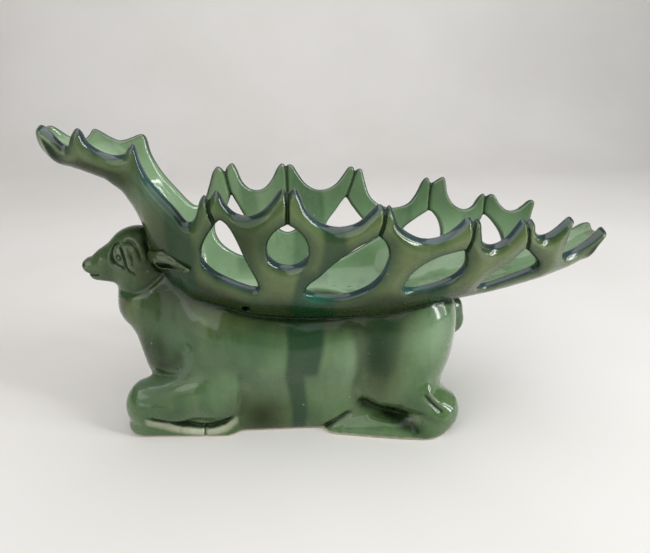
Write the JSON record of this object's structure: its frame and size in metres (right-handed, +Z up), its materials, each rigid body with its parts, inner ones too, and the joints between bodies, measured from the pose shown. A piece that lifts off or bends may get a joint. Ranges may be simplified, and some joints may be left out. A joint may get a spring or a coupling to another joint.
{
  "type": "tv lamp",
  "caption": "Resting stag television lamp in green glazed ceramic whose antlers form a pierced basket, with a small keyed lamp socket and bulb hidden in the hollow body.",
  "frame": {"origin": "centre of the footprint's bounding box, on the surface that the lamp stands on", "axes": "+X from the head towards the tail, -Y the display side, +Z up"},
  "size_m": [0.4033, 0.1299, 0.229],
  "materials": {
    "body_glaze": "glossy translucent mid green glaze, darker where it pools",
    "antler_glaze": "glossy olive green glaze with blue-grey rims",
    "zinc_steel": "zinc plated, satin",
    "brass": "satin, lightly tarnished",
    "vulcanised_fibre": "matt red-brown fibre",
    "card_liner": "matt dark card",
    "phenolic": "moulded brown-black phenolic",
    "copper_contact": "bright copper alloy",
    "bulb_glass": "clear glass",
    "bulb_base_metal": "bright rolled thread",
    "filament": "lead wires and stem",
    "grommet_rubber": "matt black rubber"
  },
  "bodies": {
    "lamp": {"deer_body": "body_glaze", "deer_head": "body_glaze", "ears": "body_glaze", "near_antler": "antler_glaze", "far_antler": "antler_glaze", "bowl_floor": "antler_glaze", "strap_bracket": "zinc_steel", "bracket_screws": "brass", "fibre_washers": "vulcanised_fibre", "bracket_nuts": "zinc_steel", "threaded_nipple": "zinc_steel", "lock_nuts": "brass", "socket_cap": "brass", "socket_shell": "brass", "insulating_liner": "card_liner", "socket_interior": "phenolic", "screw_shell": "brass", "centre_contact": "copper_contact", "terminal_screws": "brass", "cord_grommet": "grommet_rubber"},
    "key": {"turn_key": "brass"},
    "bulb": {"bulb_glass": "bulb_glass", "bulb_base": "bulb_base_metal", "bulb_filament": "filament"}
  },
  "joints": [
    {"name": "switch_turn", "type": "hinge", "parent": "lamp", "child": "key", "pos_m": [-0.015, 0, 0.034], "axis": [0, 1, 0], "continuous": true},
    {"name": "bulb_lift", "type": "slide", "parent": "lamp", "child": "bulb", "axis": [0, 0, 1], "range_m": [0, 0.13]}
  ]
}
